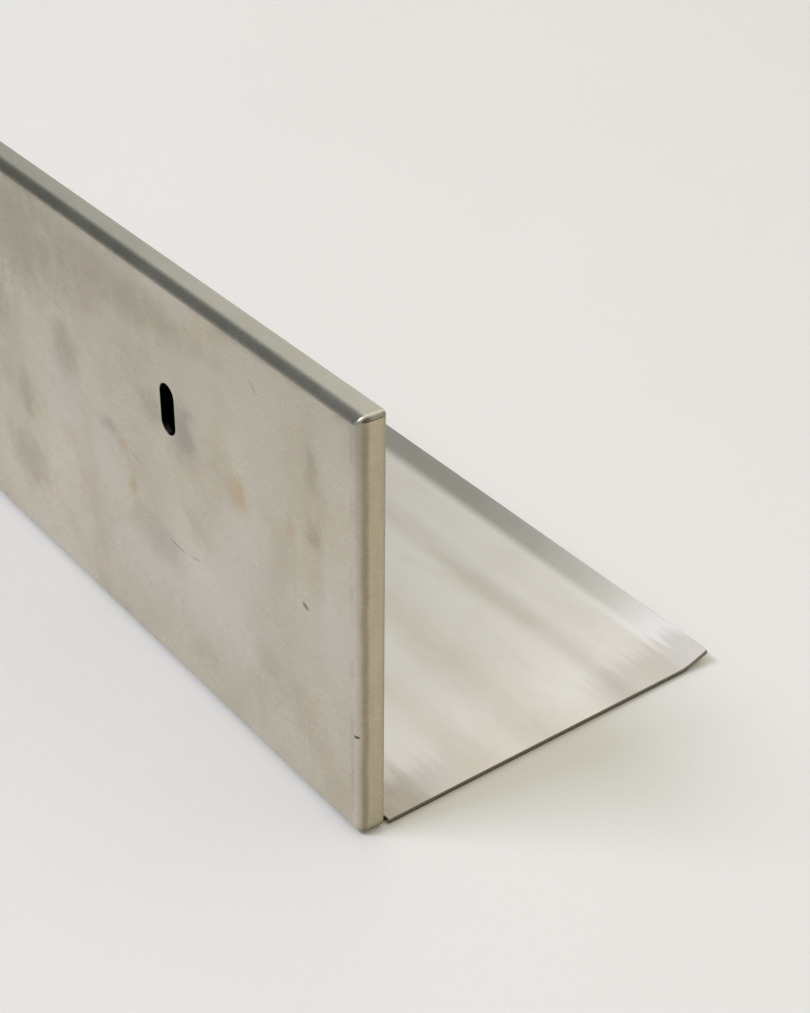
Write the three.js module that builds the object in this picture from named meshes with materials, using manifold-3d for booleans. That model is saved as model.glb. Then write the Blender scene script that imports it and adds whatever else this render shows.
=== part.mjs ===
// Folded stainless-steel wall shelf: a slotted hollow back panel and a thin shelf plate with a low lip.
// Millimetres, +Z up. +X runs along the shelf and +Y from the wall into the room.
// The origin is at the middle of the shelf's footprint, on the surface that it stands on.
// Left and right are as seen from the wall side.

import * as THREE from 'three';
import { mergeVertices, toCreasedNormals } from 'three/addons/utils/BufferGeometryUtils.js';
import Module from 'manifold-3d';

const wasm = await Module();
wasm.setup();

// Overall size.
const LENGTH = 600;
const HEIGHT = 150;
const DEPTH = 148;
const PANEL_THICKNESS = 9;

// Sheet metal.
const SHEET = 2;
const PAN_BEND_RADIUS = 3.5;
const SHELF_BEND_RADIUS = 2;
const FOOT_CORNER_RADIUS = 2;

// Lip at the shelf's room-side edge.
const LIP_ANGLE = THREE.MathUtils.degToRad(19);
const LIP_BEND_RADIUS = 16;
const LIP_BEND_START = DEPTH - 12.9;

// Hanging slots in the wall-side face.
const SLOT_WIDTH = 8;
const SLOT_HEIGHT = 18;
const SLOT_FROM_END = 102;
const SLOT_CENTRE_HEIGHT = 104;

// Joints between the sheets.
const FIT_GAP = 0.3;
const BOTTOM_RETURN_END = 7.2;
const RIM_BEVEL = 1.2;
const CORNER_WELD_SIZE = PAN_BEND_RADIUS;
const GROUND_BACK = 0.1;

// Segments in each arc, how far a cutter runs past the metal, and the angle above which an edge is sharp.
const ARC_STEPS = 8;
const PAST = 5;
const CREASE_ANGLE = THREE.MathUtils.degToRad(35);

const HALF = LENGTH / 2;
const SKIN_BACK = PANEL_THICKNESS - SHEET;
const SKIN_HALF = HALF - SHEET - FIT_GAP;
const SKIN_TOP = HEIGHT - SHEET - FIT_GAP;
const PLATE_START = PANEL_THICKNESS + SHELF_BEND_RADIUS;

// A closed geometry as a manifold solid.
function solid(geometry) {
  const bare = geometry.clone();
  bare.deleteAttribute('normal');
  bare.deleteAttribute('uv');
  const merged = mergeVertices(bare);
  return new wasm.Manifold(new wasm.Mesh({
    numProp: 3,
    vertProperties: new Float32Array(merged.attributes.position.array),
    triVerts: new Uint32Array(merged.index.array),
  }));
}

// A manifold solid as a geometry, smooth on the bends and sharp on the cut edges.
function geometryOf(body) {
  const { vertProperties, triVerts } = body.getMesh();
  const geometry = new THREE.BufferGeometry();
  geometry.setAttribute('position', new THREE.BufferAttribute(new Float32Array(vertProperties), 3));
  geometry.setIndex(new THREE.BufferAttribute(new Uint32Array(triVerts), 1));
  return toCreasedNormals(geometry, CREASE_ANGLE);
}

function box(low, high) {
  const size = high.map((value, axis) => value - low[axis]);
  const centre = high.map((value, axis) => (value + low[axis]) / 2);
  return solid(new THREE.BoxGeometry(...size).translate(...centre));
}

function extrude(shape, depth) {
  return new THREE.ExtrudeGeometry(shape, { depth, bevelEnabled: false, curveSegments: ARC_STEPS });
}

// A section drawn in Y and Z, run along X between two stations.
function alongX(shape, from, to) {
  const turn = new THREE.Matrix4().makeBasis(
    new THREE.Vector3(0, 1, 0), new THREE.Vector3(0, 0, 1), new THREE.Vector3(1, 0, 0));
  return solid(extrude(shape, to - from).applyMatrix4(turn).translate(from, 0, 0));
}

// A section drawn in X and Z, run along Y between two stations.
function alongY(shape, from, to) {
  const turn = new THREE.Matrix4().makeBasis(
    new THREE.Vector3(1, 0, 0), new THREE.Vector3(0, 0, 1), new THREE.Vector3(0, -1, 0));
  return solid(extrude(shape, to - from).applyMatrix4(turn).translate(0, to, 0));
}

// A section drawn in X and Y, run along Z between two stations.
function alongZ(shape, from, to) {
  return solid(extrude(shape, to - from).translate(0, 0, from));
}

// A rectangle with a radius for each corner: low-low, high-low, high-high, low-high.
function roundedRectangle(lowX, lowY, highX, highY, [r00, r10, r11, r01]) {
  const shape = new THREE.Shape();
  shape.moveTo(lowX + r00, lowY);
  shape.lineTo(highX - r10, lowY);
  if (r10) shape.absarc(highX - r10, lowY + r10, r10, -Math.PI / 2, 0);
  shape.lineTo(highX, highY - r11);
  if (r11) shape.absarc(highX - r11, highY - r11, r11, 0, Math.PI / 2);
  shape.lineTo(lowX + r01, highY);
  if (r01) shape.absarc(lowX + r01, highY - r01, r01, Math.PI / 2, Math.PI);
  shape.lineTo(lowX, lowY + r00);
  if (r00) shape.absarc(lowX + r00, lowY + r00, r00, Math.PI, 1.5 * Math.PI);
  return shape;
}

function polygon(points) {
  return new THREE.Shape(points.map(([x, y]) => new THREE.Vector2(x, y)));
}

// The panel's rounded block, set in from the outside on every closed side, running to Y = roomSide.
function panelBlock(inset, roomSide) {
  const bend = PAN_BEND_RADIUS - inset;
  const foot = Math.max(FOOT_CORNER_RADIUS - inset, 0);
  const across = roundedRectangle(inset, inset, roomSide, HEIGHT - inset, [bend, 0, 0, bend]);
  const plan = roundedRectangle(-HALF + inset, inset, HALF - inset, roomSide, [bend, bend, 0, 0]);
  const face = roundedRectangle(-HALF + inset, inset, HALF - inset, HEIGHT - inset, [foot, foot, 0, 0]);
  return alongX(across, -HALF, HALF)
    .intersect(alongZ(plan, 0, HEIGHT))
    .intersect(alongY(face, 0, roomSide));
}

// The block of space where the top or bottom bend, an end bend and the face meet.
function cornerBlock(side, upper, size) {
  const inner = side * (HALF - size);
  const outer = side * (HALF + PAST);
  const low = upper ? HEIGHT - size : -PAST;
  const high = upper ? HEIGHT + PAST : size;
  return box([Math.min(inner, outer), -PAST, low], [Math.max(inner, outer), size, high]);
}

function slotCutter(side) {
  const centre = side * (HALF - SLOT_FROM_END);
  const r = SLOT_WIDTH / 2;
  const low = SLOT_CENTRE_HEIGHT - SLOT_HEIGHT / 2;
  const shape = roundedRectangle(centre - r, low, centre + r, low + SLOT_HEIGHT, [r, r, r, r]);
  return alongY(shape, -PAST, PAN_BEND_RADIUS);
}

// Wall-side tray: face, top return, end returns and the short bottom return, in one folded sheet.
function wallSidePan() {
  let pan = panelBlock(0, PANEL_THICKNESS).subtract(panelBlock(SHEET, PANEL_THICKNESS + PAST));
  const trimLow = [-HALF + SHEET, BOTTOM_RETURN_END, -PAST];
  const trimHigh = [HALF - SHEET, PANEL_THICKNESS + PAST, SHEET];
  pan = pan.subtract(box(trimLow, trimHigh));
  for (const side of [-1, 1]) {
    const x = [side * (HALF - SHEET), side * (HALF + PAST)].sort((a, b) => a - b);
    const seam = box([x[0], PAN_BEND_RADIUS, SKIN_TOP], [x[1], PANEL_THICKNESS + PAST, SKIN_TOP + FIT_GAP]);
    pan = pan.subtract(seam).subtract(slotCutter(side));
    for (const upper of [true, false]) {
      pan = pan.subtract(cornerBlock(side, upper, CORNER_WELD_SIZE + FIT_GAP));
    }
  }
  return pan;
}

// Ground weld metal that closes one corner of the tray.
function cornerWeld(side, upper) {
  return panelBlock(0, PANEL_THICKNESS)
    .intersect(cornerBlock(side, upper, CORNER_WELD_SIZE))
    .subtract(panelBlock(SHEET, PANEL_THICKNESS + PAST));
}

// Section of the L sheet, from the skin's bevelled top edge down round the bend and out to the lip.
function shelfSection() {
  const bendCentre = [PLATE_START, SHEET + SHELF_BEND_RADIUS];
  const lipCentre = [LIP_BEND_START, SHEET + LIP_BEND_RADIUS];
  const down = -Math.PI / 2;
  const lipOuter = LIP_BEND_RADIUS + SHEET;
  const lipLength = (DEPTH - LIP_BEND_START - lipOuter * Math.sin(LIP_ANGLE)) / Math.cos(LIP_ANGLE);
  const lipPoint = (radius) => [
    lipCentre[0] + radius * Math.sin(LIP_ANGLE) + lipLength * Math.cos(LIP_ANGLE),
    lipCentre[1] - radius * Math.cos(LIP_ANGLE) + lipLength * Math.sin(LIP_ANGLE),
  ];
  const shape = new THREE.Shape();
  shape.moveTo(SKIN_BACK, SKIN_TOP);
  shape.lineTo(SKIN_BACK, bendCentre[1]);
  shape.absarc(...bendCentre, SHELF_BEND_RADIUS + SHEET, Math.PI, 1.5 * Math.PI);
  shape.lineTo(LIP_BEND_START, 0);
  shape.absarc(...lipCentre, lipOuter, down, down + LIP_ANGLE);
  shape.lineTo(...lipPoint(lipOuter));
  shape.lineTo(...lipPoint(LIP_BEND_RADIUS));
  shape.absarc(...lipCentre, LIP_BEND_RADIUS, down + LIP_ANGLE, down, true);
  shape.lineTo(PLATE_START, SHEET);
  shape.absarc(...bendCentre, SHELF_BEND_RADIUS, 1.5 * Math.PI, Math.PI, true);
  shape.lineTo(PANEL_THICKNESS, SKIN_TOP - RIM_BEVEL);
  shape.lineTo(PANEL_THICKNESS - RIM_BEVEL, SKIN_TOP);
  return shape;
}

// Room-side skin, shelf plate and lip in one folded sheet. The skin fits between the end returns, and
// the plate runs to the full length, so each end has a small square relief notch beside the bend.
function frontAndShelfSheet() {
  let sheet = alongX(shelfSection(), -HALF, HALF);
  for (const side of [-1, 1]) {
    const x = [side * SKIN_HALF, side * (HALF + PAST)].sort((a, b) => a - b);
    sheet = sheet.subtract(box([x[0], -PAST, -PAST], [x[1], PLATE_START, HEIGHT + PAST]));
    const bevel = polygon([
      [side * (SKIN_HALF - RIM_BEVEL), PANEL_THICKNESS],
      [side * SKIN_HALF, PANEL_THICKNESS - RIM_BEVEL],
      [side * (SKIN_HALF + RIM_BEVEL), PANEL_THICKNESS],
    ]);
    sheet = sheet.subtract(alongZ(bevel, SHEET + SHELF_BEND_RADIUS, HEIGHT + PAST));
  }
  return sheet;
}

const BEAD = RIM_BEVEL - Math.SQRT2 * FIT_GAP;

// Three-cornered weld bead between the top return and the skin's bevelled edge.
function topRimWeld() {
  const section = polygon([
    [PANEL_THICKNESS - BEAD, SKIN_TOP],
    [PANEL_THICKNESS, SKIN_TOP - BEAD],
    [PANEL_THICKNESS, SKIN_TOP],
  ]);
  return alongX(section, -SKIN_HALF, SKIN_HALF);
}

// The same bead between an end return and the skin's end edge.
function endRimWeld(side) {
  const section = polygon([
    [side * (SKIN_HALF - BEAD), PANEL_THICKNESS],
    [side * SKIN_HALF, PANEL_THICKNESS - BEAD],
    [side * SKIN_HALF, PANEL_THICKNESS],
  ]);
  return alongZ(section, SHEET + SHELF_BEND_RADIUS + FIT_GAP, SKIN_TOP - BEAD - FIT_GAP);
}

// Weld bead in the groove under the panel, between the bottom return and the outside of the L's bend.
function bottomSeamWeld() {
  const centre = [PLATE_START, SHEET + SHELF_BEND_RADIUS];
  const radius = SHELF_BEND_RADIUS + SHEET + FIT_GAP;
  const back = BOTTOM_RETURN_END + FIT_GAP;
  const topAngle = Math.PI + Math.acos((centre[0] - back) / radius);
  const footAngle = Math.PI + Math.asin((centre[1] - GROUND_BACK) / radius);
  const shape = new THREE.Shape();
  shape.moveTo(back, GROUND_BACK);
  shape.absarc(...centre, radius, footAngle, topAngle, true);
  return alongX(shape, -SKIN_HALF, SKIN_HALF);
}

// Brushed stainless steel, a little warmer on the ground welds.
function steel(colour, roughness) {
  return new THREE.MeshStandardMaterial({ color: colour, roughness, metalness: 1 });
}

function piece(name, body, material) {
  const mesh = new THREE.Mesh(geometryOf(body), material);
  mesh.name = name;
  return mesh;
}

const shelf = new THREE.Group();
shelf.position.y = -DEPTH / 2;

shelf.add(piece('wall_side_pan', wallSidePan(), steel(0xb3aea2, 0.38)));
shelf.add(piece('front_and_shelf_sheet', frontAndShelfSheet(), steel(0xc6c4b8, 0.3)));
shelf.add(piece('bottom_seam_weld', bottomSeamWeld(), steel(0x9a958a, 0.5)));
shelf.add(piece('top_rim_weld', topRimWeld(), steel(0x9a958a, 0.45)));
for (const [side, hand] of [[-1, 'left'], [1, 'right']]) {
  shelf.add(piece(`${hand}_rim_weld`, endRimWeld(side), steel(0x9a958a, 0.45)));
  shelf.add(piece(`upper_${hand}_corner_weld`, cornerWeld(side, true), steel(0xa8a294, 0.4)));
  shelf.add(piece(`lower_${hand}_corner_weld`, cornerWeld(side, false), steel(0xa8a294, 0.4)));
}

export default shelf;
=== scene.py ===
import math

import bmesh
import bpy
from mathutils import Matrix, Vector, noise

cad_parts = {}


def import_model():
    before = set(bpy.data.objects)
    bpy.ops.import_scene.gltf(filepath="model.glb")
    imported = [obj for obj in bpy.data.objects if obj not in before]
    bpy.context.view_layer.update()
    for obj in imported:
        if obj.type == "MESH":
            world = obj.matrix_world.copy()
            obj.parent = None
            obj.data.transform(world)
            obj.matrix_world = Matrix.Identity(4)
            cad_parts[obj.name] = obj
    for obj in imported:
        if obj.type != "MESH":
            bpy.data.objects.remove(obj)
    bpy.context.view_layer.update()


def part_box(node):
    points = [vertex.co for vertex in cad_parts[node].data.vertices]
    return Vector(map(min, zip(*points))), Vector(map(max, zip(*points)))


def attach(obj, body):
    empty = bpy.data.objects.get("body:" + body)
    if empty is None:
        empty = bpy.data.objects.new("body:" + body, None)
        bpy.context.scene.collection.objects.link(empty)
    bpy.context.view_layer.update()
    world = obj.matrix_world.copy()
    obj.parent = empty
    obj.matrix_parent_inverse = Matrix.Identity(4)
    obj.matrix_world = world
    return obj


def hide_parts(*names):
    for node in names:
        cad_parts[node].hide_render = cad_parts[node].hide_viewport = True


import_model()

# ---------------------------------------------------------------- sizes
# The mesh code works in millimetres from the wall-side face (Y = 0), the floor (Z = 0) and the middle of
# the length (X = 0). to_row() turns that into the row frame in metres.

MM = 0.001
PAN_LOW, PAN_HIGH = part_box("wall_side_pan")
SHEET_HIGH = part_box("front_and_shelf_sheet")[1]
TO_ROW = Matrix.Translation((0.0, PAN_LOW.y, 0.0)) @ Matrix.Scale(MM, 4)

HALF = PAN_HIGH.x / MM
HEIGHT = PAN_HIGH.z / MM
PANEL = (PAN_HIGH.y - PAN_LOW.y) / MM
DEPTH = (SHEET_HIGH.y - PAN_LOW.y) / MM
SHEET = 2.0
PAN_BEND = 3.5
FIT_GAP = 0.3
SKIN_TOP = SHEET_HIGH.z / MM
SKIN_HALF = HALF - SHEET - FIT_GAP
SKIN_BACK = PANEL - SHEET
RETURN_END = 7.2
RIM_BEVEL = 1.2
SHELF_BEND = 2.0
PLATE_START = PANEL + SHELF_BEND
CORNER_WELD = PAN_BEND

LIP_ANGLE = math.radians(19)
LIP_BEND = 16.0
LIP_START = DEPTH - 12.9

SLOT_HALF_WIDTH = 4.0
SLOT_HALF_HEIGHT = 9.0
SLOT_FROM_END = 102.0
SLOT_HEIGHT = 104.0

EDGE = 0.28               # rounding of the cut edges
UPPER_CORNER = 1.3        # radius along the upper corners, where the returns meet
LOWER_CORNER = 2.8        # the same at the foot, ground rounder
INNER_CORNER = 0.25

CLEAR = 5                 # how far a cutting box reaches past the steel

BEND_STEPS = 14
EDGE_STEPS = 3
CORNER_STEPS = 7
SLOT_STEPS = 20

SHARP_ANGLE = math.radians(38)
FLAT_FACE_WEIGHT = 80


def to_row(mesh):
    mesh.transform(TO_ROW)
    return mesh


def arc(centre, radius, start, end, steps):
    """Points on a circle between two angles in degrees, both ends included."""
    points = []
    for i in range(steps + 1):
        a = math.radians(start + (end - start) * i / steps)
        points.append((centre[0] + radius * math.cos(a), centre[1] + radius * math.sin(a)))
    return points


def lines(start, end, step):
    """Evenly spaced values strictly between start and end, about a step apart."""
    count = max(1, round((end - start) / step))
    return [start + (end - start) * i / count for i in range(1, count)]


# ---------------------------------------------------------------- sheet flatness
# Real folded sheet is never quite flat. Every piece is moved by the same smooth field, so they stay joined.
# The bow fades out over a few millimetres at the bends and edges, which stay straight.

FACE_BOW = 0.16
PLATE_BOW = 0.22
LIP_DROP = 0.3


def fade(value, low, high):
    """0 at low and 1 at high, with a smooth step between."""
    t = min(max((value - low) / (high - low), 0.0), 1.0)
    return t * t * (3 - 2 * t)


def bowed(p):
    """A point moved out of flat: in Y on the wall-side face, in Z on the shelf plate, down at the lip."""
    x, y, z = p
    inside = fade(HALF - abs(x), 6, 45)
    face = fade(z, 8, 40) * fade(HEIGHT - z, 6, 35) * inside * fade(PLATE_START + 4 - y, 0, 4)
    ripple = noise.noise(Vector((x / 95, z / 60, 3.1))) + 0.5 * noise.noise(Vector((x / 38, z / 30, 8.4)))
    plate = fade(y, PLATE_START, 60) * (0.35 + 0.65 * inside)
    lift = 0.5 + noise.noise(Vector((x / 120, y / 70, 5.7)))
    lift += 0.3 * noise.noise(Vector((x / 45, y / 40, 1.3)))
    drop = fade(y, LIP_START, DEPTH) * fade(HALF - abs(x), 20, 200) * LIP_DROP
    return Vector((x, y + FACE_BOW * face * ripple, z + PLATE_BOW * plate * max(lift, 0) - drop))


# ---------------------------------------------------------------- mesh helpers

def new_object(name, mesh):
    obj = bpy.data.objects.new(name, mesh)
    bpy.context.scene.collection.objects.link(obj)
    return obj


def mesh_from(bm, name):
    bmesh.ops.recalc_face_normals(bm, faces=bm.faces)
    mesh = bpy.data.meshes.new(name)
    bm.to_mesh(mesh)
    bm.free()
    return mesh


def strip(bm, first, second):
    """Quads between two closed loops of vertices with the same count."""
    count = len(first)
    for i in range(count):
        j = (i + 1) % count
        bm.faces.new((first[i], first[j], second[j], second[i]))


def box_mesh(name, low, high):
    bm = bmesh.new()
    bmesh.ops.create_cube(bm, size=1.0)
    low, high = Vector(low), Vector(high)
    for v in bm.verts:
        v.co = Vector(((v.co[k] + 0.5) * (high[k] - low[k]) + low[k]) for k in range(3))
    return mesh_from(bm, name)


def boolean(mesh, cutters, operation):
    """The mesh joined with, cut by or kept within each cutter mesh in turn."""
    body = new_object("work", mesh)
    tools = [new_object("cutter", c) for c in cutters]
    for tool in tools:
        mod = body.modifiers.new("cut", "BOOLEAN")
        mod.object, mod.operation, mod.solver = tool, operation, "EXACT"
    graph = bpy.context.evaluated_depsgraph_get()
    result = bpy.data.meshes.new_from_object(body.evaluated_get(graph))
    for obj in [body, *tools]:
        bpy.data.objects.remove(obj)
    return result


def finished(name, mesh, material, node):
    """A finished piece: bowed, in the row frame, smooth-shaded, riding on the root and replacing its node."""
    for v in mesh.vertices:
        v.co = bowed(v.co)
    to_row(mesh)
    mesh.shade_smooth()
    mesh.set_sharp_from_angle(angle=SHARP_ANGLE)
    mesh.name = name
    mesh.materials.clear()
    mesh.materials.append(material)
    obj = new_object(name, mesh)
    weighted = obj.modifiers.new("even_shading", "WEIGHTED_NORMAL")
    weighted.keep_sharp = True
    weighted.weight = FLAT_FACE_WEIGHT
    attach(obj, "root")
    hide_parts(node)
    return obj


# ---------------------------------------------------------------- wall-side pan

X_LINES = lines(-HALF + 8, HALF - 8, 12)
Z_LINES = lines(0 + 8, HEIGHT - 8, 11)


def rim_loop(bm, inset, y, upper, lower):
    """A rounded rectangle of vertices round the panel, set in from its outside, at one depth."""
    right, left, top, foot = HALF - inset, -HALF + inset, HEIGHT - inset, inset
    loop = [(x, foot) for x in X_LINES]
    loop += arc((right - lower, foot + lower), lower, -90, 0, CORNER_STEPS)
    loop += [(right, z) for z in Z_LINES]
    loop += arc((right - upper, top - upper), upper, 0, 90, CORNER_STEPS)
    loop += [(x, top) for x in reversed(X_LINES)]
    loop += arc((left + upper, top - upper), upper, 90, 180, CORNER_STEPS)
    loop += [(left, z) for z in reversed(Z_LINES)]
    loop += arc((left + lower, foot + lower), lower, 180, 270, CORNER_STEPS)
    return [bm.verts.new((x, y, z)) for x, z in loop]


def pan_section():
    """Inset and depth round the sheet: the outer face to the rim, then the rim to the inner face."""
    outer = arc((PAN_BEND, PAN_BEND), PAN_BEND, 270, 180, BEND_STEPS)
    outer += [(0, y) for y in lines(PAN_BEND, PANEL - EDGE, 1.4)]
    outer += arc((EDGE, PANEL - EDGE), EDGE, 180, 90, EDGE_STEPS)
    inner = arc((SHEET - EDGE, PANEL - EDGE), EDGE, 90, 0, EDGE_STEPS)
    inner += arc((PAN_BEND, PAN_BEND), PAN_BEND - SHEET, 180, 270, BEND_STEPS // 2)
    return outer, inner


def corner_radius(inset, outside):
    """The corner's radius in plan: largest on the outside, gone where the bend meets the flat face."""
    return max(outside * (1 - inset / PAN_BEND), 0.05)


def slot_loop(bm, centre_x, grow, y):
    """The slot's round-ended outline, grown outwards by an amount, at one depth."""
    r = SLOT_HALF_WIDTH + grow
    reach = SLOT_HALF_HEIGHT - SLOT_HALF_WIDTH
    loop = arc((centre_x, SLOT_HEIGHT + reach), r, 0, 180, SLOT_STEPS)
    loop += [(centre_x - r, SLOT_HEIGHT + reach * k) for k in (0.5, 0, -0.5)]
    loop += arc((centre_x, SLOT_HEIGHT - reach), r, 180, 360, SLOT_STEPS)
    loop += [(centre_x + r, SLOT_HEIGHT + reach * k) for k in (-0.5, 0, 0.5)]
    return [bm.verts.new((x, y, z)) for x, z in loop]


def face_grid(bm, rim, y, slot_edges):
    """Fills the flat inside a rim loop with a grid of cells, leaving a patch round each slot."""
    nx, nz, nc = len(X_LINES), len(Z_LINES), CORNER_STEPS + 1
    foot = rim[:nx]
    corner_a = rim[nx:nx + nc]
    right = rim[nx + nc:nx + nc + nz]
    corner_b = rim[nx + nc + nz:nx + 2 * nc + nz]
    top = rim[nx + 2 * nc + nz:2 * nx + 2 * nc + nz][::-1]
    corner_c = rim[2 * nx + 2 * nc + nz:2 * nx + 3 * nc + nz]
    left = rim[2 * nx + 3 * nc + nz:2 * nx + 3 * nc + 2 * nz][::-1]
    corner_d = rim[2 * nx + 3 * nc + 2 * nz:]
    corners = {(-1, -1): corner_d, (nx, -1): corner_a, (nx, nz): corner_b, (-1, nz): corner_c}
    inner = {}

    def at(i, j):
        if (i, j) in corners:
            return corners[(i, j)]
        if j == -1:
            return [foot[i]]
        if j == nz:
            return [top[i]]
        if i == -1:
            return [left[j]]
        if i == nx:
            return [right[j]]
        if (i, j) not in inner:
            inner[(i, j)] = bm.verts.new((X_LINES[i], y, Z_LINES[j]))
        return [inner[(i, j)]]

    blocks = []
    for centre_x in slot_edges:
        xs = [i for i in range(nx) if abs(X_LINES[i] - centre_x) > SLOT_HALF_WIDTH + 3]
        zs = [j for j in range(nz) if abs(Z_LINES[j] - SLOT_HEIGHT) > SLOT_HALF_HEIGHT + 3]
        i0 = max(i for i in xs if X_LINES[i] < centre_x)
        i1 = min(i for i in xs if X_LINES[i] > centre_x)
        j0 = max(j for j in zs if Z_LINES[j] < SLOT_HEIGHT)
        j1 = min(j for j in zs if Z_LINES[j] > SLOT_HEIGHT)
        blocks.append((i0, i1, j0, j1, centre_x))
    for i in range(-1, nx):
        for j in range(-1, nz):
            if any(b[0] <= i < b[1] and b[2] <= j < b[3] for b in blocks):
                continue
            bm.faces.new(at(i, j) + at(i + 1, j) + at(i + 1, j + 1) + at(i, j + 1))
    for i0, i1, j0, j1, centre_x in blocks:
        outline = [at(i, j0)[0] for i in range(i0, i1)]
        outline += [at(i1, j)[0] for j in range(j0, j1)]
        outline += [at(i, j1)[0] for i in range(i1, i0, -1)]
        outline += [at(i0, j)[0] for j in range(j1, j0, -1)]
        ring = slot_edges[centre_x]
        edges = []
        for loop in (outline, ring):
            for a, b in zip(loop, loop[1:] + loop[:1]):
                edges.append(bm.edges.get((a, b)) or bm.edges.new((a, b)))
        bmesh.ops.triangle_fill(bm, use_beauty=True, use_dissolve=False, edges=edges)


def pan_shell():
    """The whole folded tray as one closed mesh, slots included."""
    bm = bmesh.new()
    outer, inner = pan_section()
    loops = [rim_loop(bm, inset, y, corner_radius(inset, UPPER_CORNER), corner_radius(inset, LOWER_CORNER))
             for inset, y in outer]
    loops += [rim_loop(bm, inset, y, INNER_CORNER, INNER_CORNER) for inset, y in inner]
    for a, b in zip(loops, loops[1:]):
        strip(bm, a, b)
    outer_edges, inner_edges = {}, {}
    for side in (-1, 1):
        centre_x = side * (HALF - SLOT_FROM_END)
        wall = arc((EDGE, EDGE), EDGE, 270, 180, EDGE_STEPS)
        wall += arc((EDGE, SHEET - EDGE), EDGE, 180, 90, EDGE_STEPS)
        rings = [slot_loop(bm, centre_x, grow, y) for grow, y in wall]
        for a, b in zip(rings, rings[1:]):
            strip(bm, a, b)
        outer_edges[centre_x], inner_edges[centre_x] = rings[0], rings[-1]
    face_grid(bm, loops[0], 0.0, outer_edges)
    face_grid(bm, loops[-1], SHEET, inner_edges)
    return mesh_from(bm, "pan_shell")


def corner_box(side, upper):
    x = sorted((side * (HALF - CORNER_WELD), side * (HALF + CLEAR)))
    z = (HEIGHT - CORNER_WELD, HEIGHT + CLEAR) if upper else (-CLEAR, CORNER_WELD)
    return box_mesh("corner", (x[0], -CLEAR, z[0]), (x[1], CORNER_WELD, z[1]))


# ---------------------------------------------------------------- front and shelf sheet

def shelf_section():
    """The L sheet's outline in Y and Z, with every cut edge rounded."""
    fold = (PLATE_START, SHEET + SHELF_BEND)
    curl = (LIP_START, SHEET + LIP_BEND)
    tilt = math.degrees(LIP_ANGLE)
    outer = LIP_BEND + SHEET
    length = (DEPTH - LIP_START - outer * math.sin(LIP_ANGLE)) / math.cos(LIP_ANGLE)
    along = (math.cos(LIP_ANGLE), math.sin(LIP_ANGLE))

    def tip(radius, back):
        foot = (curl[0] + radius * math.sin(LIP_ANGLE), curl[1] - radius * math.cos(LIP_ANGLE))
        return (foot[0] + (length - back) * along[0], foot[1] + (length - back) * along[1])

    points = [(SKIN_BACK, SKIN_TOP)]
    points += [(SKIN_BACK, z) for z in reversed(lines(fold[1], SKIN_TOP, 12))]
    points += arc(fold, SHELF_BEND + SHEET, 180, 270, BEND_STEPS)
    points += [(y, 0) for y in lines(PLATE_START, LIP_START, 9)]
    points += arc(curl, outer, -90, -90 + tilt, 10)
    points += [tip(outer, length * k) for k in (0.66, 0.33)]
    low_edge = tip(outer - EDGE, EDGE)
    high_edge = tip(LIP_BEND + EDGE, EDGE)
    points += arc(low_edge, EDGE, -90 + tilt, tilt, EDGE_STEPS)
    points += arc(high_edge, EDGE, tilt, 90 + tilt, EDGE_STEPS)
    points += [tip(LIP_BEND, length * k) for k in (0.33, 0.66)]
    points += arc(curl, LIP_BEND, -90 + tilt, -90, 10)
    points += [(y, SHEET) for y in reversed(lines(PLATE_START, LIP_START, 9))]
    points += arc(fold, SHELF_BEND, 270, 180, BEND_STEPS)
    points += [(PANEL, z) for z in lines(fold[1], SKIN_TOP - RIM_BEVEL, 12)]
    points += [(PANEL, SKIN_TOP - RIM_BEVEL), (PANEL - RIM_BEVEL, SKIN_TOP)]
    return [Vector(p) for p in points]


def inset_outline(points, amount):
    """Each point of an outline moved inwards, square to the line through its neighbours."""
    moved = []
    for i, p in enumerate(points):
        run = (points[(i + 1) % len(points)] - points[i - 1]).normalized()
        moved.append(p + Vector((-run.y, run.x)) * amount)
    return moved


def shelf_sheet():
    bm = bmesh.new()
    outline = shelf_section()
    rounded = [(HALF - EDGE + edge, EDGE - inset) for edge, inset in arc((0, 0), EDGE, 90, 0, EDGE_STEPS)]
    stations = [(-x, inset) for x, inset in reversed(rounded)]
    stations += [(x, 0) for x in lines(-HALF + EDGE, HALF - EDGE, 10)]
    stations += rounded
    loops = []
    for x, inset in stations:
        loops.append([bm.verts.new((x, p.x, p.y)) for p in inset_outline(outline, inset)])
    for a, b in zip(loops, loops[1:]):
        strip(bm, a, b)
    for loop in (loops[0], loops[-1]):
        bm.faces.new(loop)
    mesh = mesh_from(bm, "shelf_sheet")
    notches = []
    for side in (-1, 1):
        reach = sorted((side * SKIN_HALF, side * (HALF + CLEAR)))
        notches.append(box_mesh("notch", (reach[0], -CLEAR, -CLEAR), (reach[1], PLATE_START, HEIGHT + CLEAR)))
    return boolean(mesh, notches, "DIFFERENCE")


# ---------------------------------------------------------------- welds
# A bead's surface wavers by this much over this length. It laps onto the return, rises in the middle and
# reaches a little into the steel. The one in the groove stays just clear of the floor.

BEAD_WAVER = 0.03
BEAD_RIPPLE = 2.3
BEAD_LAP = 0.12
BEAD_CROWN = 0.02
BEAD_ROOT = 0.1
GROOVE_ROOT = 0.15
GROOVE_SETBACK = 0.12
CROWN_STEPS = 6


def bead(name, section, at, stations):
    """A dressed weld bead: a closed section swept along stations, its surface slightly uneven."""
    bm = bmesh.new()
    loops = []
    for s in stations:
        wave = BEAD_WAVER * noise.noise(Vector((s / BEAD_RIPPLE, 7.7, 0.4)))
        loops.append([bm.verts.new(at(a, b + wave * k, s)) for a, b, k in section])
    for a, b in zip(loops, loops[1:]):
        strip(bm, a, b)
    bm.faces.new(loops[0])
    bm.faces.new(loops[-1])
    return mesh_from(bm, name)


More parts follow.
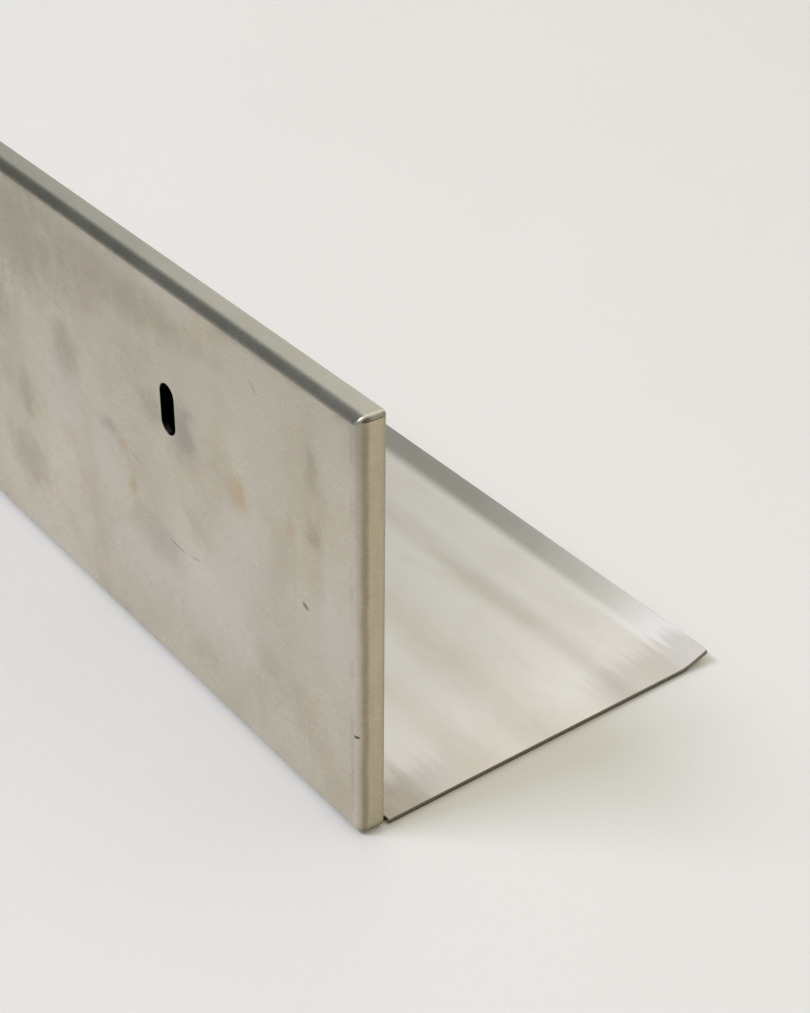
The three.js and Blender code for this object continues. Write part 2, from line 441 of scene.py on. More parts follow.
def rim_bead_section():
    """Across the rim joint: distance in from the return's inner face, depth, and how much it may waver."""
    wide = RIM_BEVEL + FIT_GAP + BEAD_LAP
    crown = []
    for i in range(CROWN_STEPS + 1):
        share = i / CROWN_STEPS
        crown.append((wide * share - BEAD_LAP, PANEL + BEAD_CROWN * math.sin(math.pi * share), 1.0))
    root = PANEL - RIM_BEVEL - BEAD_ROOT
    return crown + [(FIT_GAP + BEAD_ROOT, root, 0.0), (-BEAD_LAP, root, 0.0)]


def seam_bead_section():
    """Across the groove under the panel: Y, Z, and how much it may waver."""
    fold = (PLATE_START, SHEET + SHELF_BEND)
    groove = arc(fold, SHELF_BEND + SHEET - GROOVE_ROOT, 262, 208, CROWN_STEPS)
    start = RETURN_END - BEAD_ROOT
    step = (groove[0][0] - start) / CROWN_STEPS
    crown = [(start + step * i, GROOVE_SETBACK, 1.0) for i in range(CROWN_STEPS)]
    return crown + [(y, z, 0.0) for y, z in groove] + [(start, groove[-1][1], 0.0)]


# ---------------------------------------------------------------- shader helpers

# A mix node has its own sockets for each kind of data: where A, B and the result are.
MIX_SOCKETS = {"RGBA": (6, 7, 2), "FLOAT": (2, 3, 0)}


class Shader:
    """Builds a node tree with short calls. Numbers and sockets can be mixed as inputs."""

    def __init__(self, tree):
        self.tree = tree
        self.links = tree.links

    def node(self, kind, inputs=(), **settings):
        made = self.tree.nodes.new(kind)
        for key, value in settings.items():
            setattr(made, key, value)
        for key, value in dict(inputs).items():
            self.put(made.inputs[key], value)
        return made

    def put(self, socket, value):
        if isinstance(value, bpy.types.NodeSocket):
            self.links.new(value, socket)
        else:
            socket.default_value = value

    def math(self, operation, a, b=0.0, c=0.0):
        made = self.node("ShaderNodeMath", operation=operation)
        for socket, value in zip(made.inputs, (a, b, c)):
            self.put(socket, value)
        return made.outputs[0]

    def vector(self, operation, a, b=(0, 0, 0)):
        made = self.node("ShaderNodeVectorMath", operation=operation)
        self.put(made.inputs[0], a)
        self.put(made.inputs[1], b)
        return made.outputs["Value" if operation in ("DOT_PRODUCT", "LENGTH", "DISTANCE") else "Vector"]

    def scaled(self, vector, scale, shift=(0, 0, 0)):
        return self.vector("ADD", self.vector("MULTIPLY", vector, scale), shift)

    def noise(self, vector, scale=1.0, detail=3.0, rough=0.55, colour=False):
        made = self.node("ShaderNodeTexNoise", noise_dimensions="3D")
        self.put(made.inputs["Vector"], vector)
        made.inputs["Scale"].default_value = scale
        made.inputs["Detail"].default_value = detail
        made.inputs["Roughness"].default_value = rough
        return made.outputs["Color" if colour else "Fac"]

    def ramp(self, value, low, high, to_low=0.0, to_high=1.0):
        made = self.node("ShaderNodeMapRange", interpolation_type="SMOOTHSTEP")
        for key, v in (("Value", value), ("From Min", low), ("From Max", high),
                       ("To Min", to_low), ("To Max", to_high)):
            self.put(made.inputs[key], v)
        return made.outputs["Result"]

    def mixed(self, kind, factor, a, b):
        made = self.node("ShaderNodeMix", data_type=kind, clamp_factor=True)
        place_of_a, place_of_b, result = MIX_SOCKETS[kind]
        self.put(made.inputs[0], factor)
        self.put(made.inputs[place_of_a], a)
        self.put(made.inputs[place_of_b], b)
        return made.outputs[result]

    def mix(self, factor, a, b):
        return self.mixed("RGBA", factor, a, b)

    def blend(self, factor, a, b):
        return self.mixed("FLOAT", factor, a, b)

    def xyz(self, vector):
        made = self.node("ShaderNodeSeparateXYZ")
        self.put(made.inputs[0], vector)
        return made.outputs

    def point(self, x, y, z):
        made = self.node("ShaderNodeCombineXYZ")
        for socket, value in zip(made.inputs, (x, y, z)):
            self.put(socket, value)
        return made.outputs[0]


def tone(r, g, b):
    return (r, g, b, 1.0)


# ---------------------------------------------------------------- steel

# Added to the brushing's cross direction, so that it isn't zero where a surface looks along X.
NEVER_ZERO = (0, 0, 0.05)
ANISOTROPY = 0.85


class Steel(Shader):
    """Stainless steel. Each layer changes its tone, shade and roughness by the place on the object in mm."""

    def __init__(self, name, base, rough):
        self.material = bpy.data.materials.new(name)
        self.material.use_nodes = True
        super().__init__(self.material.node_tree)
        from_row = self.node("ShaderNodeTexCoord").outputs["Object"]
        self.place = self.scaled(from_row, (1 / MM,) * 3, (0, -PAN_LOW.y / MM, 0))
        self.x, self.y, self.z = self.xyz(self.place)
        self.normal = self.node("ShaderNodeNewGeometry").outputs["Normal"]
        self.end_on = self.math("ABSOLUTE", self.xyz(self.normal)[0])
        self.colour, self.shade, self.rough, self.height = base, 1.0, rough, 0.0

    def tint(self, mask, colour):
        self.colour = self.mix(mask, self.colour, colour)

    def darken(self, mask, amount):
        self.shade = self.math("MULTIPLY", self.shade, self.math("SUBTRACT", 1.0, self.times(mask, amount)))

    def vary(self, pattern, shade, rough=0.0, height=0.0):
        """A pattern about 0.5 lightens and darkens, roughens and smooths, raises and lowers."""
        self.shade = self.math("ADD", self.shade, self.centred(pattern, shade))
        if rough:
            self.rough = self.math("ADD", self.rough, self.centred(pattern, rough))
        if height:
            self.height = self.math("ADD", self.height, self.centred(pattern, height))

    def centred(self, pattern, amount):
        """A pattern about 0.5 turned into one about 0, times an amount."""
        return self.times(self.math("SUBTRACT", pattern, 0.5), amount)

    def times(self, a, b):
        return self.math("MULTIPLY", a, b)

    def spot(self, x, z, half_width, half_height, wander):
        """A soft patch on a face that looks along Y: 1 in the middle, with an uneven edge."""
        away = self.vector("MULTIPLY", self.vector("SUBTRACT", self.place, (x, 0, z)),
                           (1 / half_width, 0, 1 / half_height))
        far = self.math("ADD", self.vector("LENGTH", away), wander)
        return self.ramp(far, 1.15, 0.15)

    def line(self, start, end, half_width, wander):
        """A scratch on a face that looks along Y, tapering to both ends."""
        run = Vector(end) - Vector(start)
        length = run.length
        run.normalize()
        away = self.vector("SUBTRACT", self.place, (start[0], 0, start[1]))
        along = self.vector("DOT_PRODUCT", away, (run.x, 0, run.y))
        across = self.math("ADD", self.vector("DOT_PRODUCT", away, (-run.y, 0, run.x)), wander)
        body = self.ramp(self.math("ABSOLUTE", across), half_width, half_width * 0.3)
        ends = self.times(self.ramp(along, 0, length * 0.3), self.ramp(along, length, length * 0.6))
        return self.times(body, ends)

    def finish(self):
        shader = self.tree.nodes["Principled BSDF"]
        relief = self.node("ShaderNodeBump", {"Strength": 0.4, "Distance": MM, "Height": self.height})
        shade = self.point(self.shade, self.shade, self.shade)
        self.put(shader.inputs["Base Color"], self.vector("MULTIPLY", self.colour, shade))
        self.put(shader.inputs["Roughness"], self.rough)
        self.put(shader.inputs["Normal"], relief.outputs["Normal"])
        across_brushing = self.vector("CROSS_PRODUCT", self.normal, (1, 0, 0))
        self.put(shader.inputs["Tangent"], self.vector("ADD", across_brushing, NEVER_ZERO))
        shader.inputs["Metallic"].default_value = 1.0
        shader.inputs["Anisotropic"].default_value = ANISOTROPY
        return self.material


def stains(s, warm, cool, stretch, tinted, broad, blotched):
    """Broad clouds and smaller blotches: warm where the steel is stained, cool and pale where it is clean."""
    warp = s.scaled(s.noise(s.place, scale=0.04, detail=2, colour=True), (26, 26, 26), (-13, -13, -13))
    at = s.vector("MULTIPLY", s.vector("ADD", s.place, warp), stretch)
    cloud = s.noise(at, scale=0.015, detail=1.5)
    blotch = s.noise(s.scaled(at, (1, 1, 1), (40, 10, 70)), scale=0.04, detail=6, rough=0.6)
    islands = s.noise(s.scaled(at, (1, 1, 1), (90, 60, 20)), scale=0.045, detail=3, rough=0.5)
    s.tint(s.times(s.ramp(islands, 0.45, 0.72), tinted), warm)
    s.tint(s.times(s.ramp(cloud, 0.42, 0.66), s.times(s.ramp(islands, 0.58, 0.36), tinted)), cool)
    s.vary(cloud, broad)
    s.vary(blotch, blotched, rough=0.10)


def brushing(s, strength):
    """Fine lines left by brushing along the sheet, broken up where it has worn."""
    worn = s.ramp(s.noise(s.place, scale=0.03, detail=3), 0.3, 0.7, 0.45, 1.0)
    fine = s.noise(s.scaled(s.place, (0.05, 1.7, 1.7)), detail=4, rough=0.7)
    wide = s.noise(s.scaled(s.place, (0.014, 0.3, 0.3), (5, 1, 8)), detail=3, rough=0.6)
    fine = s.math("ADD", 0.5, s.centred(fine, worn))
    s.vary(fine, 0.20 * strength, rough=0.1, height=0.0012)
    s.vary(wide, 0.12 * strength)
    s.vary(s.noise(s.place, scale=1.6, detail=4, rough=0.7), 0.10, height=0.004)


def wall_face_marks(s):
    """Handling marks on the wall-side face: blotches, heat tints, a smudge round each slot, scratches."""
    wander = s.noise(s.place, scale=0.16, detail=4, rough=0.6, colour=True)
    uneven, _, drift = s.xyz(s.scaled(wander, (1.4, 1, 2.0), (-0.7, -0.5, -1.0)))
    on_face = s.ramp(s.y, 1.5, 0.6)
    for tone_of_mark, depth, marks in FACE_MARKS:
        for x, z, half_width, half_height, strength in marks:
            patch = s.times(s.spot(x, z, half_width, half_height, uneven), s.times(on_face, strength))
            s.tint(patch, tone_of_mark)
            s.darken(patch, depth)
    for side in (-1, 1):
        slot = side * (HALF - SLOT_FROM_END)
        for x, z, half_width, half_height, strength in SMUDGES:
            smudge = s.spot(slot + x, SLOT_HEIGHT + z, half_width, half_height, uneven)
            smudge = s.times(smudge, s.times(on_face, strength))
            s.tint(smudge, SMUDGE_TONE)
            s.darken(smudge, 0.18)
    for start, end, half_width, depth in SCRATCHES:
        s.darken(s.times(s.line(start, end, half_width, s.times(drift, 0.5)), on_face), depth)


def slot_walls_painted_shade(s):
    """The punched walls of the slots, painted nearly black as the shade inside the slots, darkened a little
    less at the foot as a painted glint.
    """
    for side in (-1, 1):
        away = s.math("SUBTRACT", s.x, side * (HALF - SLOT_FROM_END))
        level = s.math("SUBTRACT", s.z, SLOT_HEIGHT)
        past = s.math("SUBTRACT", s.math("ABSOLUTE", level), SLOT_HALF_HEIGHT - SLOT_HALF_WIDTH)
        reach = s.vector("LENGTH", s.point(away, 0, s.math("MAXIMUM", past, 0)))
        # Painted shade inside each slot; at its foot, less darkening as a painted glint.
        inside = s.ramp(reach, SLOT_HALF_WIDTH + 0.95 * EDGE, SLOT_HALF_WIDTH + 0.6 * EDGE)
        foot = s.ramp(level, -SLOT_HALF_HEIGHT + 3, -SLOT_HALF_HEIGHT, 0.97, 0.88)
        s.darken(inside, foot)


def end_returns(s):
    """The folded ends: a warmer tone, a dark line just past the bend, cross lines, and painted shade at the
    foot and in the corner relief pit under the top.
    """
    at_end = s.ramp(s.math("ABSOLUTE", s.x), HALF - 2.0, HALF - 0.6)
    s.darken(s.ramp(s.end_on, 0.15, 0.6), 0.14)
    turned = s.ramp(s.end_on, 0.45, 0.95)
    s.tint(turned, END_TONE)
    lines_across = s.noise(s.scaled(s.place, (0.4, 0.12, 1.1), (9, 4, 2)), detail=5, rough=0.7)
    cloud = s.noise(s.scaled(s.place, (0.1, 0.3, 0.05), (3, 7, 1)), detail=3)
    worn = s.math("ADD", s.times(lines_across, 0.3), s.math("ADD", s.times(cloud, 0.3), 0.7))
    s.shade = s.blend(turned, s.shade, worn)
    uneven = s.centred(s.noise(s.place, scale=0.09, detail=3), 1.2)
    past_bend = s.math("ABSOLUTE", s.math("SUBTRACT", s.math("ADD", s.y, uneven), 2.2))
    s.darken(s.times(s.ramp(past_bend, 1.8, 0.1), at_end), 0.36)
    rim = s.ramp(s.y, PANEL - 1.3, PANEL - 0.2)
    s.darken(s.times(rim, turned), 0.2)
    s.darken(s.times(s.ramp(s.z, 60, 8), turned), 0.05)
    # Painted shade at the foot, where the end meets the floor.
    foot = s.times(s.ramp(s.z, 4.5, 0.5), s.ramp(s.end_on, 0.15, 0.5))
    s.darken(foot, 0.45)
    sheared = s.times(s.ramp(s.z, HEIGHT - 1.6, HEIGHT - 1.3), s.ramp(s.end_on, 0.5, 0.8))
    s.tint(s.times(sheared, 0.6), SHEARED_TONE)
    # Painted shade in the corner relief pit at the inner end of the sheared band.
    s.darken(s.times(sheared, s.ramp(s.y, 5.0, 3.0)), 0.5)


def top_return_painted_shade(s):
    """The top of the panel painted a little darker than the face, with a faint green cast: painted shade on
    the faces that look up.
    """
    flat = s.ramp(s.xyz(s.normal)[2], 0.75, 0.97)
    s.tint(s.times(flat, 0.7), UPWARD_SHADE_TONE)
    s.darken(flat, 0.05)


def bend_lines(s):
    """Faint darker lines where the flat of the face meets its bends."""
    patchy = s.ramp(s.noise(s.place, scale=0.07, detail=2), 0.42, 0.6)
    for distance in (s.math("SUBTRACT", HALF, s.math("ABSOLUTE", s.x)), s.math("SUBTRACT", HEIGHT, s.z)):
        away = s.math("ABSOLUTE", s.math("SUBTRACT", distance, PAN_BEND + 0.3))
        s.darken(s.times(s.times(s.ramp(away, 1.4, 0.0), patchy), s.ramp(s.y, 1.0, 0.2)), 0.14)


def cut_ends(s):
    """The sheet's sheared ends: dark, with fine striations across the thickness, and darker towards the
    floor.
    """
    cut = s.ramp(s.end_on, 0.86, 0.97)
    striation = s.noise(s.scaled(s.place, (1.2, 2.2, 0.3), (4, 4, 4)), detail=3, rough=0.7)
    s.tint(cut, CUT_TONE)
    s.shade = s.blend(cut, s.shade, s.math("ADD", 0.85, s.times(striation, 0.9)))
    # Darker towards the floor: the rougher lower zone of the cut, and painted shade where the edge meets the
    # floor.
    s.darken(s.times(cut, s.ramp(s.z, 1.5, 0.6)), 0.5)
    s.rough = s.blend(cut, s.rough, 0.5)


def plate_marks(s):
    """A warm tint with painted shade along the inner fold, heat tint at the plate's ends, dull streaks that
    run with the brushing, and painted shade and a painted highlight on the lip.
    """
    level = s.ramp(s.z, SHEET + 3, SHEET + 1)
    uneven = s.centred(s.noise(s.scaled(s.place, (0.03, 0.1, 0.1)), detail=4), 26)
    # Along the inner fold: a warm tint, and darkening that is painted shade in the crease where the plate
    # meets the skin.
    fold = s.times(s.ramp(s.math("ADD", s.y, uneven), 34, 13), level)
    s.tint(s.times(fold, 0.7), TINT_TONE)
    s.darken(fold, 0.24)
    from_end = s.math("SUBTRACT", HALF, s.math("ABSOLUTE", s.x))
    wander = s.centred(s.noise(s.place, scale=0.025, detail=2), 40)
    end = s.times(s.ramp(s.math("ADD", from_end, wander), 26, -4), level)
    s.tint(s.times(end, 0.22), TINT_TONE)
    s.darken(end, 0.03)
    ragged = s.centred(s.noise(s.scaled(s.place, (0.02, 0.45, 0.45), (6, 3, 2)), detail=3), 24)
    near = s.ramp(s.math("ADD", from_end, ragged), *DULL_END)
    s.darken(s.times(near, s.times(s.ramp(s.y, *DULL_FOLD), level)), 0.2)
    s.darken(s.times(near, s.ramp(s.y, *DULL_OUTER)), 0.12)
    for y, half_width, seed, depth in PLATE_STREAKS:
        wave = s.centred(s.noise(s.scaled(s.place, (0.012, 0, 0), (seed, 0, 0)), detail=1), 9)
        away = s.math("ABSOLUTE", s.math("ADD", s.math("SUBTRACT", s.y, y), wave))
        broken = s.ramp(s.noise(s.scaled(s.place, (0.011, 0.03, 0), (0, seed, 0)), detail=3), 0.3, 0.62)
        streak = s.times(s.times(s.ramp(away, half_width, 0), broken), level)
        s.tint(s.times(streak, 0.3), BLOTCH_TONE)
        s.darken(streak, depth)
    pale = s.noise(s.scaled(s.place, (0.008, 0.035, 0.035), (4, 2, 6)), detail=3, rough=0.6)
    s.vary(pale, 0.14)
    # Painted shade on the lip, which is tinted and darkened as a whole; the paler tint towards its ends is a
    # painted highlight.
    lip = s.ramp(s.y, LIP_START, LIP_START + 5)
    s.tint(s.times(lip, 0.9), UPWARD_SHADE_TONE)
    s.tint(s.times(lip, s.ramp(from_end, 45, 12, 0.0, 0.8)), LIP_END_HIGHLIGHT_TONE)
    s.darken(lip, 0.13)
    tip = s.times(near, s.ramp(s.y, *DULL_LIP))
    s.tint(s.times(tip, 0.35), TINT_TONE)
    s.darken(tip, 0.07)


def steel(name, base, warm, cool, rough, stain, brushed, layers=()):
    s = Steel(name, base, rough)
    stains(s, warm, cool, *stain)
    brushing(s, brushed)
    for layer in layers:
        layer(s)
    return s.finish()


BASE = tone(0.628, 0.583, 0.475)
WARM = tone(0.515, 0.462, 0.355)
COOL = tone(0.635, 0.597, 0.522)
PLATE_BASE = tone(0.633, 0.604, 0.545)
PLATE_WARM = tone(0.57, 0.526, 0.447)
PLATE_COOL = tone(0.63, 0.612, 0.565)
WELD_BASE = tone(0.50, 0.47, 0.41)
WELD_WARM = tone(0.46, 0.39, 0.30)
WELD_COOL = tone(0.46, 0.46, 0.46)
END_TONE = tone(0.485, 0.42, 0.295)
# Painted shade: the darker, greenish tone given to faces that look up, and to the lip.
UPWARD_SHADE_TONE = tone(0.545, 0.53, 0.445)
# Painted highlight: the paler tone towards the lip's ends.
LIP_END_HIGHLIGHT_TONE = tone(0.60, 0.592, 0.56)
TINT_TONE = tone(0.52, 0.455, 0.33)
SHEARED_TONE = tone(0.20, 0.20, 0.155)
CUT_TONE = tone(0.17, 0.15, 0.115)
SMUDGE_TONE = tone(0.49, 0.46, 0.395)
BLOTCH_TONE = tone(0.51, 0.46, 0.35)
HEAT_TONE = tone(0.60, 0.49, 0.34)
GREY_TONE = tone(0.52, 0.49, 0.42)
PALE_TONE = tone(0.655, 0.625, 0.57)

# Tone, darkening, then the patches: X, Z, half-width and half-height in mm, and strength.
FACE_MARKS = [
    (BLOTCH_TONE, 0.12, [
        (HALF - 170, 94, 12, 14, 1.0),
        (HALF - 205, 34, 20, 15, 0.7),
        (HALF - 222, 96, 14, 22, 0.9),
        (HALF - 203, 62, 9, 13, 0.7),
        # The next two broad marks along the top of the face are partly stain and partly painted shade,
        # darkening the top away from the near end.
        (HALF - 118, 134, 52, 10, 0.6),
        (HALF - 200, 128, 62, 26, 0.8),
        (HALF - 22, 100, 5, 6, 0.7),
        (HALF - 23, 122, 4, 9, 0.6),
        (HALF - 50, 38, 9, 9, 0.4),
        (HALF - 250, 70, 14, 22, 0.7),
        (20, 105, 13, 15, 0.8),
        (-40, 40, 22, 11, 0.7),
        (-HALF + 180, 80, 12, 14, 0.7),
        (-HALF + 60, 28, 18, 10, 0.8),
        (-HALF + 45, 118, 10, 9, 0.7),
    ]),
    (PALE_TONE, -0.01, [
        (HALF - 172, 74, 15, 30, 0.6),
        (HALF - 146, 64, 17, 24, 0.5),
        (HALF - 196, 90, 9, 16, 0.4),
        (HALF - 84, 42, 46, 24, 0.7),
        (HALF - 62, 68, 24, 26, 0.5),
        (HALF - 128, 34, 30, 16, 0.6),
        (HALF - 12, 70, 9, 34, 0.5),
        (-20, 80, 20, 32, 0.6),
        (-HALF + 110, 50, 44, 24, 0.6),
        (-HALF + 150, 84, 20, 30, 0.5),
    ]),
    (GREY_TONE, 0.14, [
        (HALF - 141, 79, 10, 4, 0.7),
        (HALF - 194, 116, 10, 15, 0.35),
        (HALF - 110, 48, 17, 11, 0.5),
        (0, 66, 12, 5, 0.8),
        (-HALF + 130, 56, 18, 12, 0.5),
    ]),
    (HEAT_TONE, 0.04, [
        (HALF - 63, 94, 8, 9, 1.0),
        (HALF - 128, 62, 4, 4.5, 1.0),
        (HALF - 134, 76, 5, 3, 0.9),
        (HALF - 172, 60, 9, 7, 0.5),
        (HALF - 34, 96, 4, 6, 0.6),
        (-22, 122, 6, 6, 0.8),
        (-HALF + 155, 112, 5, 6, 0.9),
        (-HALF + 84, 60, 5, 5, 0.8),
    ]),
]
# Round each slot: X and Z from its middle, half-width and half-height in mm, and strength.
SMUDGES = [(9, -4, 9, 14, 0.8), (-10, -4, 10, 9, 0.5)]
# X and Z at one end, X and Z at the other, half-width in mm and darkness.
SCRATCHES = [
    ((HALF - 107, 53), (HALF - 94, 52), 0.45, 0.45),
    ((HALF - 93, 52.5), (HALF - 86, 55), 0.45, 0.3),
    ((HALF - 29, 73.4), (HALF - 25, 71.6), 1.2, 0.65),
    ((HALF - 32.5, 97), (HALF - 32.5, 62), 0.4, 0.12),
    ((HALF - 131, 75.5), (HALF - 119, 73.5), 0.4, 0.25),
    ((HALF - 54, 138), (HALF - 50, 133), 0.6, 0.25),
    ((HALF - 3.4, 39), (HALF - 0.2, 39.6), 0.75, 0.8),
    ((10, 44), (24, 47), 0.45, 0.3),
    ((-HALF + 140, 40), (-HALF + 152, 47), 0.4, 0.3),
    ((-HALF + 70, 96), (-HALF + 61, 92), 0.4, 0.25),
]

# The plate is duller within these distances of its ends, and in these ranges of Y: by the fold, on the outer
# part and on the lip.
DULL_END = (21, 9)
DULL_FOLD = (50, 26)
DULL_OUTER = (98, 106)
DULL_LIP = (134, 139)

# Y, half-width, a seed and darkness.
PLATE_STREAKS = [(112, 9, 3, 0.10), (76, 15, 17, 0.03), (47, 12, 29, 0.03)]

# How the stains stretch, how far they tint, and how much the broad clouds and the blotches vary the shade.
FACE_STAIN = ((1.0, 1.0, 0.75), 0.5, 0.34, 0.26)
PLATE_STAIN = ((0.4, 1.0, 1.0), 0.45, 0.20, 0.12)
WELD_STAIN = ((1.0, 1.0, 1.0), 0.7, 0.2, 0.4)

PAN_STEEL = steel("pan_steel", BASE, WARM, COOL, 0.27, FACE_STAIN, 0.35,
                  (wall_face_marks, top_return_painted_shade, bend_lines, end_returns, slot_walls_painted_shade))
SHELF_STEEL = steel("shelf_steel", PLATE_BASE, PLATE_WARM, PLATE_COOL, 0.25, PLATE_STAIN, 0.3,
                    (plate_marks, cut_ends))
WELD_STEEL = steel("weld_steel", WELD_BASE, WELD_WARM, WELD_COOL, 0.42, WELD_STAIN, 0.4)
GROUND_STEEL = steel("ground_weld_steel", BASE, WARM, COOL, 0.27, FACE_STAIN, 0.4, (end_returns,))


# ---------------------------------------------------------------- the pieces

# The fine seam on each end under the top return's cut edge: its depth, where it starts in Y, and how far
# below the top its foot and its top are.
SEAM_DEPTH = 0.7
SEAM_START = 1.2
SEAM_FOOT = 1.75
SEAM_TOP = 1.5
BEAD_STEP = 2.2

PAN = pan_shell()
RETURN_TRIM = box_mesh("trim", (-HALF + SHEET, RETURN_END, -CLEAR), (HALF - SHEET, PANEL + CLEAR, SHEET))
CORNERS = [(side, upper) for side in (-1, 1) for upper in (True, False)]
SEAMS = []
for side in (-1, 1):
    reach = sorted((side * (HALF - SEAM_DEPTH), side * (HALF + CLEAR)))
    SEAMS.append(box_mesh("seam", (reach[0], SEAM_START, HEIGHT - SEAM_FOOT),
                          (reach[1], PANEL + CLEAR, HEIGHT - SEAM_TOP)))

trimmed = boolean(PAN.copy(), [RETURN_TRIM, *SEAMS], "DIFFERENCE")
for side, upper in CORNERS:
    hand = "right" if side > 0 else "left"
    level = "upper" if upper else "lower"
    node = f"{level}_{hand}_corner_weld"
    plug = boolean(trimmed.copy(), [corner_box(side, upper)], "INTERSECT")
    finished(node.replace("weld", "ground_weld"), plug, GROUND_STEEL, node)
pan = boolean(trimmed, [corner_box(side, upper) for side, upper in CORNERS], "DIFFERENCE")
finished("wall_side_pan_sheet", pan, PAN_STEEL, "wall_side_pan")

finished("shelf_and_skin_sheet", shelf_sheet(), SHELF_STEEL, "front_and_shelf_sheet")

run_stations = [-SKIN_HALF] + lines(-SKIN_HALF, SKIN_HALF, BEAD_STEP) + [SKIN_HALF]
top_bead = bead("top_bead", rim_bead_section(), lambda a, y, s: (s, y, HEIGHT - SHEET - a), run_stations)
finished("top_rim_bead", top_bead, WELD_STEEL, "top_rim_weld")
rise_stations = [PLATE_START] + lines(PLATE_START, SKIN_TOP, BEAD_STEP) + [SKIN_TOP]
for side, hand in ((-1, "left"), (1, "right")):
    end_bead = bead("end_bead", rim_bead_section(), lambda a, y, s: (side * (HALF - SHEET - a), y, s),
                    rise_stations)
    finished(f"{hand}_rim_bead", end_bead, WELD_STEEL, f"{hand}_rim_weld")
seam_bead = bead("seam_bead", seam_bead_section(), lambda y, z, s: (s, y, z), run_stations)
finished("bottom_seam_bead", seam_bead, WELD_STEEL, "bottom_seam_weld")


# ---------------------------------------------------------------- floor, light and camera

def floor():
    mesh = bpy.data.meshes.new("floor")
    corners = [(x * FLOOR_REACH, y * FLOOR_REACH, 0) for x, y in ((-1, -1), (1, -1), (1, 1), (-1, 1))]
    mesh.from_pydata(corners, [], [(0, 1, 2, 3)])
    material = bpy.data.materials.new("pale_floor")
    material.use_nodes = True
    s = Shader(material.node_tree)
    shader = material.node_tree.nodes["Principled BSDF"]
    place = s.scaled(s.node("ShaderNodeTexCoord").outputs["Object"], (1 / MM,) * 3)
    fibre = s.noise(place, scale=0.9, detail=5, rough=0.7)
    cloud = s.noise(place, scale=0.006, detail=3)
    shade = s.math("MULTIPLY_ADD", fibre, FIBRE_SHADE, 1.0 - FIBRE_SHADE / 2)
    shade = s.math("ADD", shade, s.math("MULTIPLY_ADD", cloud, CLOUD_SHADE, -CLOUD_SHADE / 2))
    shade = s.math("MULTIPLY", shade, s.ramp(s.xyz(place)[1], *PAPER_END, PAPER_END_SHADE, 1.0))
    s.put(shader.inputs["Base Color"], s.vector("MULTIPLY", FLOOR_TONE, s.point(shade, shade, shade)))
    shader.inputs["Roughness"].default_value = FLOOR_ROUGH
    relief = s.node("ShaderNodeBump", {"Strength": 0.2, "Distance": FIBRE_HEIGHT, "Height": fibre})
    s.put(shader.inputs["Normal"], relief.outputs["Normal"])
    mesh.materials.append(material)
    obj = new_object("floor", mesh)
    obj.location.z = -FLOOR_GAP


def world():
    """A pale studio: brightest high up, duller lower down, dark on the wall side, with a ceiling panel."""
    made = bpy.data.worlds.new("studio")
    made.use_nodes = True
    s = Shader(made.node_tree)
    back = made.node_tree.nodes["Background"]
    way = s.node("ShaderNodeTexCoord").outputs["Generated"]
    high = s.ramp(s.xyz(way)[2], math.sin(math.radians(LOW_EDGE)), math.sin(math.radians(HIGH_EDGE)))
    facing = s.vector("DOT_PRODUCT", way, tuple(Vector(DARK_SIDE).normalized()))
    hidden = s.ramp(facing, math.cos(math.radians(DARK_OUTER)), math.cos(math.radians(DARK_INNER)))
    east, _, up = s.xyz(way)
    across = s.math("MULTIPLY", s.ramp(east, *PANEL_WEST), s.ramp(east, *PANEL_EAST))
    panel = s.math("MULTIPLY", across, s.ramp(up, *PANEL_LOW))
    studio = s.mix(hidden, s.mix(high, WALL_TONE, STUDIO_TONE), ROOM_TONE)
    s.put(back.inputs["Color"], s.mix(panel, studio, PANEL_TONE))
    back.inputs["Strength"].default_value = 1.0
    bpy.context.scene.world = made


def key_light():
    """One cool window-like light, high on the wall side."""
    data = bpy.data.lights.new("window", "AREA")
    data.shape, data.size, data.size_y = "RECTANGLE", KEY_WIDTH, KEY_HEIGHT
    data.energy, data.color = KEY_POWER, KEY_TONE
    obj = new_object("window", data)
    place = Vector(KEY_WAY).normalized() * KEY_DISTANCE
    obj.location = place
    obj.rotation_euler = (-place).to_track_quat("-Z", "Y").to_euler()


# The studio's dark side: the direction of its middle, and the angles (degrees) where it ends.
DARK_SIDE = (-0.75, -0.63, 0.20)
DARK_INNER = 38
DARK_OUTER = 75
# Elevations (degrees) between which the walls give way to the bright ceiling.
LOW_EDGE = 31
HIGH_EDGE = 40
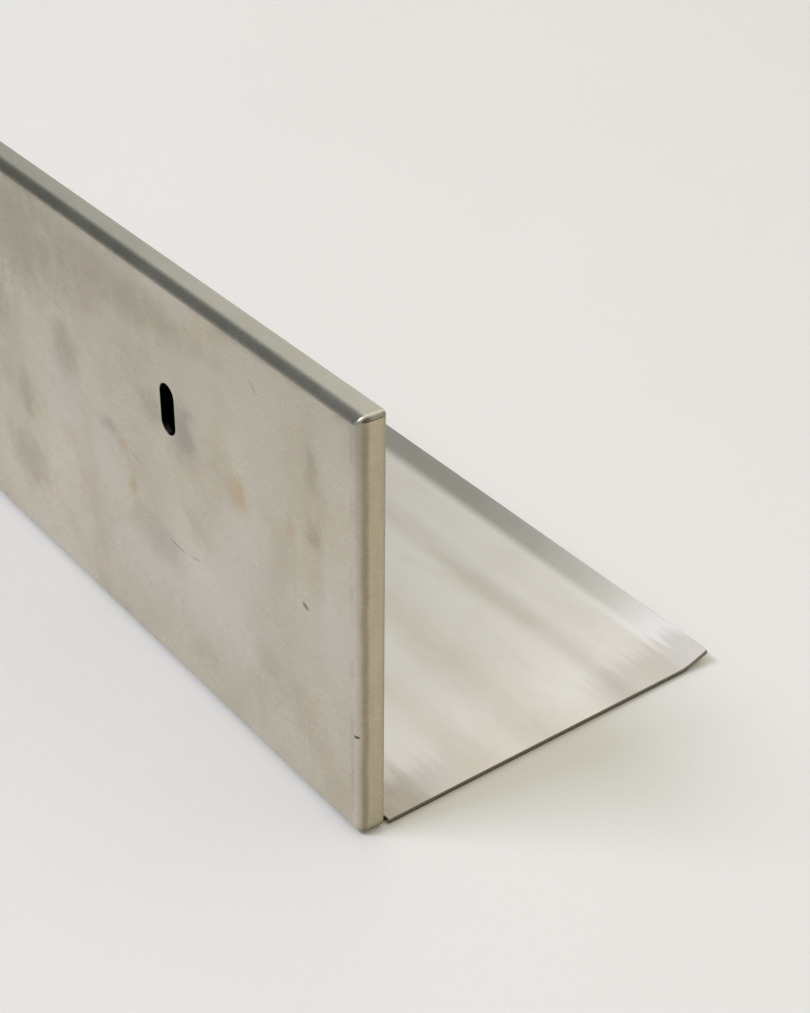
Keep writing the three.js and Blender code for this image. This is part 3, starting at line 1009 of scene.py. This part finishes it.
# The ceiling panel that lights the lip: where its edges fade, along X and upwards, on a sphere of radius 1.
PANEL_WEST = (-0.59, -0.555)
PANEL_EAST = (-0.36, -0.42)
PANEL_LOW = (0.68, 0.75)
PANEL_TONE = tone(1.78, 1.77, 1.90)
STUDIO_TONE = tone(1.12, 1.13, 1.10)
WALL_TONE = tone(0.87, 0.87, 0.845)
ROOM_TONE = tone(0.15, 0.165, 0.172)

KEY_WAY = (-0.20, -0.57, 0.79)
KEY_DISTANCE = 3.5
KEY_WIDTH = 1.4
KEY_HEIGHT = 0.95
KEY_POWER = 72.0
KEY_TONE = (0.94, 1.02, 1.38)
FLOOR_TONE = (0.625, 0.594, 0.512)
FLOOR_ROUGH = 0.75
FIBRE_HEIGHT = 0.5 * MM
FIBRE_SHADE = 0.03
CLOUD_SHADE = 0.05
FLOOR_GAP = 0.3 * MM
FLOOR_REACH = 6.0         # metres each way
# The paper floor darkens towards the room on the wall side, between these Y values in mm.
PAPER_END = (-500, -170)
PAPER_END_SHADE = 0.2

# Metres from the right-hand end of the panel's foot to the camera.
CAMERA_FROM_FOOT = Vector((0.3538, -0.2556, 0.4149))
CAMERA_YAW = math.radians(-52.523)
CAMERA_PITCH = math.radians(33.791)
CAMERA_ROLL = math.radians(0.744)
CAMERA_LENS = 68.71
CAMERA_CLIP = 0.01


def camera():
    data = bpy.data.cameras.new("camera")
    data.lens = CAMERA_LENS
    data.clip_start = CAMERA_CLIP
    forward = Vector((math.cos(CAMERA_PITCH) * math.sin(CAMERA_YAW),
                      math.cos(CAMERA_PITCH) * math.cos(CAMERA_YAW), -math.sin(CAMERA_PITCH)))
    level = Vector((math.cos(CAMERA_YAW), -math.sin(CAMERA_YAW), 0))
    upright = level.cross(forward)
    right = math.cos(CAMERA_ROLL) * level + math.sin(CAMERA_ROLL) * upright
    up = -math.sin(CAMERA_ROLL) * level + math.cos(CAMERA_ROLL) * upright
    turn = Matrix((right, up, -forward)).transposed().to_4x4()
    obj = new_object("camera", data)
    foot = Vector((PAN_HIGH.x, PAN_LOW.y, 0))
    obj.matrix_world = Matrix.Translation(foot + CAMERA_FROM_FOOT) @ turn
    bpy.context.scene.camera = obj


floor()
world()
key_light()
camera()
bpy.context.scene.view_settings.view_transform = "Standard"
